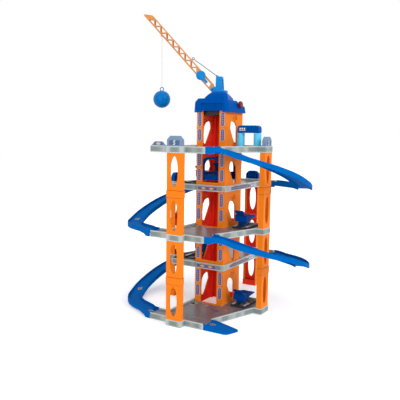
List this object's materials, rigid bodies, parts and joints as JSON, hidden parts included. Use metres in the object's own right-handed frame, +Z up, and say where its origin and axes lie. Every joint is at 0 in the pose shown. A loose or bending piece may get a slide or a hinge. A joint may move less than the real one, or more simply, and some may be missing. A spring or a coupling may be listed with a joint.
{
  "type": "toy parking garage",
  "caption": "Toy parking garage: storeyed decks round a lift tower, clip-together columns, U-turn ramps, a lift cabin with knob, car jacks, a car wash and a roof crane with ball.",
  "frame": {"origin": "on the floor, under the lift tower's axis, which is the centre of the part's footprint", "axes": "+Z up, +X to the right along the front lane and exit ramp, +Y from the front lane towards the back"},
  "size_m": [0.4904, 0.4592, 0.7841],
  "materials": {
    "grey_plastic": "light grey moulded plastic, satin",
    "orange_plastic": "orange moulded plastic, satin gloss",
    "blue_plastic": "mid blue moulded plastic, satin gloss",
    "dark_blue_plastic": "dark blue moulded plastic, satin gloss",
    "sky_blue_plastic": "light blue moulded plastic, satin gloss",
    "cyan_plastic": "light cyan soft plastic",
    "sign_blue_plastic": "grey-blue moulded plastic, satin",
    "dark_plastic": "near-black moulded plastic",
    "red_plastic": "dark red moulded plastic",
    "stay_wire": "grey steel wire",
    "white_string": "thin white string"
  },
  "bodies": {
    "garage": {"deck_1": "grey_plastic", "tower_storey_1": "orange_plastic", "deck_2": "grey_plastic", "tower_storey_2": "orange_plastic", "deck_3": "grey_plastic", "tower_storey_3": "orange_plastic", "deck_4": "grey_plastic", "tower_storey_4": "orange_plastic", "deck_5": "grey_plastic", "tower_storey_5": "orange_plastic", "front_column_1": "orange_plastic", "front_column_2": "orange_plastic", "front_column_3": "orange_plastic", "front_column_4": "orange_plastic", "front_column_cap": "sign_blue_plastic", "right_column_1": "orange_plastic", "right_column_2": "orange_plastic", "right_column_3": "orange_plastic", "right_column_4": "orange_plastic", "right_column_cap": "sign_blue_plastic", "back_column_1": "orange_plastic", "back_column_2": "orange_plastic", "back_column_3": "orange_plastic", "back_column_cap": "dark_blue_plastic", "left_column_1": "orange_plastic", "left_column_2": "orange_plastic", "left_column_3": "orange_plastic", "left_column_cap": "dark_blue_plastic", "rim_sign": "sign_blue_plastic", "right_ramp_5_to_4": "blue_plastic", "left_ramp_4_to_3": "blue_plastic", "right_ramp_3_to_2": "blue_plastic", "left_ramp_2_to_1": "blue_plastic", "exit_ramp": "blue_plastic", "roof_cover": "blue_plastic", "hoist_cradle": "dark_plastic", "wash_base": "dark_blue_plastic", "wash_lintel": "dark_blue_plastic", "jack_base_1": "dark_plastic", "jack_base_2": "dark_plastic", "jack_base_3": "dark_plastic", "jack_base_4": "dark_plastic"},
    "lift_cabin": {"lift_cabin": "dark_blue_plastic"},
    "lift_winder": {"hoist_drum": "dark_plastic", "lift_knob": "red_plastic"},
    "crane_head": {"crane_turntable": "sky_blue_plastic", "crane_mast": "sky_blue_plastic", "boom_pin": "dark_plastic"},
    "crane_boom": {"boom": "orange_plastic"},
    "string_winch": {"string_winch": "sky_blue_plastic"},
    "boom_stay": {"boom_stay": "stay_wire"},
    "swinging_ball": {"hoist_string": "white_string", "wrecking_ball": "blue_plastic"},
    "left_roller": {"left_wash_roller": "cyan_plastic"},
    "right_roller": {"right_wash_roller": "cyan_plastic"},
    "jack_1": {"jack_platform_1": "blue_plastic"},
    "jack_2": {"jack_platform_2": "blue_plastic"},
    "jack_3": {"jack_platform_3": "blue_plastic"},
    "jack_4": {"jack_platform_4": "blue_plastic"}
  },
  "joints": [
    {"name": "lift_slide", "type": "slide", "parent": "garage", "child": "lift_cabin", "axis": [0, 0, 1], "range_m": [-0.342, 0.079]},
    {"name": "lift_knob_turn", "type": "hinge", "parent": "garage", "child": "lift_winder", "pos_m": [0, 0.008, 0.542], "axis": [-1, 0, 0], "range_deg": [-2450, 566]},
    {"name": "crane_slew", "type": "hinge", "parent": "garage", "child": "crane_head", "pos_m": [0, 0, 0.573], "axis": [0, 0, 1], "continuous": true},
    {"name": "boom_luff", "type": "hinge", "parent": "crane_head", "child": "crane_boom", "pos_m": [-0.01932, -0.00518, 0.581], "axis": [-0.2588, 0.9659, 0], "range_deg": [-6, 15]},
    {"name": "stay_swing", "type": "hinge", "parent": "crane_head", "child": "boom_stay", "pos_m": [-0.00869, -0.00233, 0.6162], "axis": [-0.2588, 0.9659, 0], "range_deg": [-8, 19.9]},
    {"name": "string_winch_turn", "type": "hinge", "parent": "crane_boom", "child": "string_winch", "pos_m": [-0.05097, -0.01366, 0.61882], "axis": [0.2588, -0.9659, 0], "continuous": true},
    {"name": "ball_swing", "type": "hinge", "parent": "crane_boom", "child": "swinging_ball", "pos_m": [-0.16018, -0.04292, 0.72375], "axis": [-0.2588, 0.9659, 0], "range_deg": [-30, 30]},
    {"name": "left_roller_turn", "type": "hinge", "parent": "garage", "child": "left_roller", "pos_m": [0.064, 0, 0.431], "axis": [0, 0, 1], "continuous": true},
    {"name": "right_roller_turn", "type": "hinge", "parent": "garage", "child": "right_roller", "pos_m": [0.112, 0, 0.431], "axis": [0, 0, 1], "continuous": true},
    {"name": "jack_tilt_1", "type": "hinge", "parent": "garage", "child": "jack_1", "pos_m": [0.084, -0.018, 0.022], "axis": [1, 0, 0], "range_deg": [-20, 10]},
    {"name": "jack_tilt_2", "type": "hinge", "parent": "garage", "child": "jack_2", "pos_m": [-0.084, 0.054, 0.127], "axis": [1, 0, 0], "range_deg": [-20, 10]},
    {"name": "jack_tilt_3", "type": "hinge", "parent": "garage", "child": "jack_3", "pos_m": [0.084, -0.018, 0.232], "axis": [1, 0, 0], "range_deg": [-20, 10]},
    {"name": "jack_tilt_4", "type": "hinge", "parent": "garage", "child": "jack_4", "pos_m": [-0.084, 0.054, 0.337], "axis": [1, 0, 0], "range_deg": [-20, 10]}
  ],
  "couplings": [
    {"joint": "lift_knob_turn", "follows": "lift_slide", "rad_per_m": 125},
    {"joint": "stay_swing", "follows": "boom_luff", "ratio": 1.32}
  ]
}
